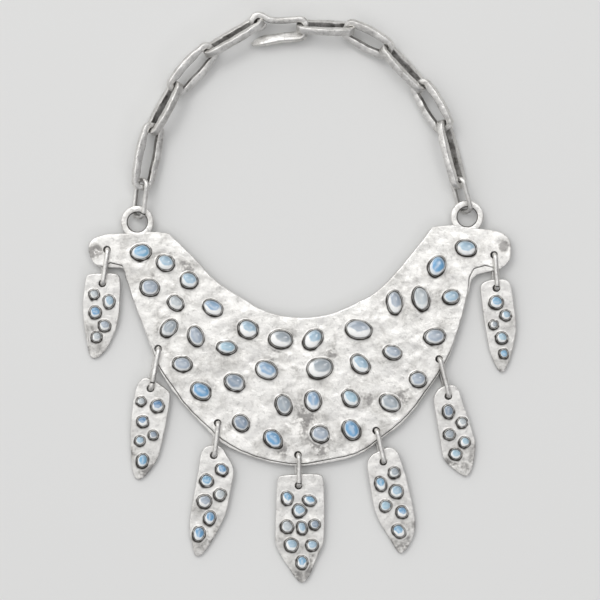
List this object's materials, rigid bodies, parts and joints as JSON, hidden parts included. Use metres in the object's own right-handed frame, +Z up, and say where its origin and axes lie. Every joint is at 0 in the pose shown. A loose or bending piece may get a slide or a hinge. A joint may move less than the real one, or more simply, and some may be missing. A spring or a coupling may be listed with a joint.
{
  "type": "bib necklace",
  "caption": "Silver bib necklace with oval moonstones, leaf-shaped drops on jump rings, a long-link chain and a hook clasp, laid out flat",
  "frame": {"origin": "on the surface under the middle of the whole necklace's bounding box", "axes": "+Z up from the surface, out of the front of the bib; +Y from the drops towards the clasp; +X to the right as the front is seen"},
  "size_m": [0.191, 0.2508, 0.0111],
  "materials": {
    "silver": "satin",
    "moonstone": "gloss"
  },
  "bodies": {
    "root": {"bib": "silver", "stone_01": "moonstone", "stone_02": "moonstone", "stone_03": "moonstone", "stone_04": "moonstone", "stone_05": "moonstone", "stone_06": "moonstone", "stone_07": "moonstone", "stone_08": "moonstone", "stone_09": "moonstone", "stone_10": "moonstone", "stone_11": "moonstone", "stone_12": "moonstone", "stone_13": "moonstone", "stone_14": "moonstone", "stone_15": "moonstone", "stone_16": "moonstone", "stone_17": "moonstone", "stone_18": "moonstone", "stone_19": "moonstone", "stone_20": "moonstone", "stone_21": "moonstone", "stone_22": "moonstone", "stone_23": "moonstone", "stone_24": "moonstone", "stone_25": "moonstone", "stone_26": "moonstone", "stone_27": "moonstone", "stone_28": "moonstone", "stone_29": "moonstone", "stone_30": "moonstone", "stone_31": "moonstone", "stone_32": "moonstone", "stone_33": "moonstone", "stone_34": "moonstone", "stone_35": "moonstone", "ring_far_left": "silver", "drop_far_left": "silver", "ring_left": "silver", "drop_left": "silver", "ring_near_left": "silver", "drop_near_left": "silver", "ring_centre": "silver", "drop_centre": "silver", "ring_near_right": "silver", "drop_near_right": "silver", "ring_right": "silver", "drop_right": "silver", "ring_far_right": "silver", "drop_far_right": "silver", "end_ring_left": "silver", "chain_left": "silver", "clasp_hook": "silver", "chain_right": "silver", "end_ring_right": "silver"}
  },
  "joints": []
}
